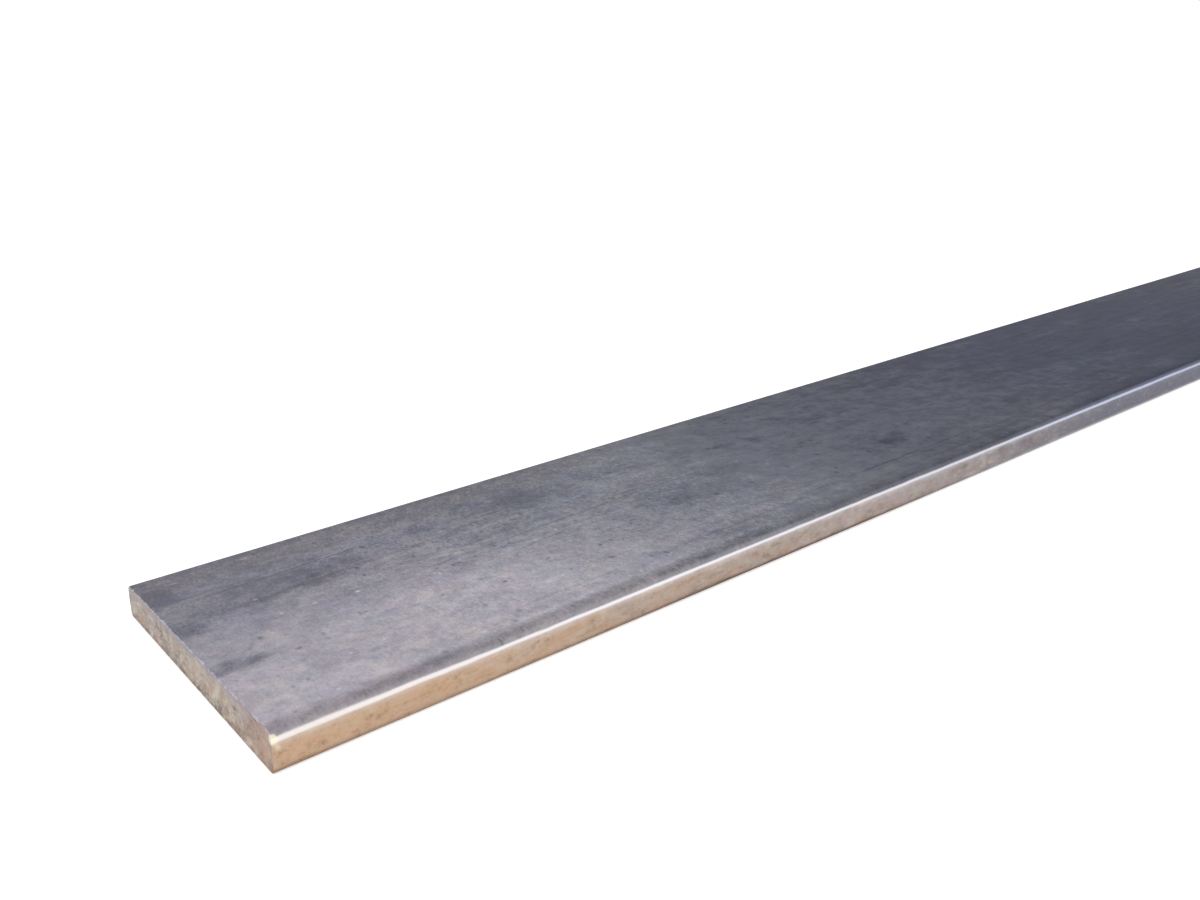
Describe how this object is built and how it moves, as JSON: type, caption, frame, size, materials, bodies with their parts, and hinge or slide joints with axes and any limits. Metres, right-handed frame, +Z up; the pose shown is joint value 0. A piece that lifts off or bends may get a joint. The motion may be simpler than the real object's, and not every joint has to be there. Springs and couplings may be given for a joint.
{
  "type": "metal flat bar",
  "caption": "Length of hot-rolled mild steel flat bar with rounded, slightly crowned rolled edges and saw-cut ends, in bare mill finish.",
  "frame": {"origin": "middle of the underside, halfway along the length and the width", "axes": "+X along the bar's length, +Y across its width, +Z up through its thickness"},
  "size_m": [1, 0.1, 0.008],
  "materials": {
    "mill_steel": "bare hot-rolled mill finish: blue-grey mill scale on the wide faces, light tan rust bloom on the rolled edges and sawn ends"
  },
  "bodies": {
    "root": {"flat_bar": "mill_steel"}
  },
  "joints": []
}
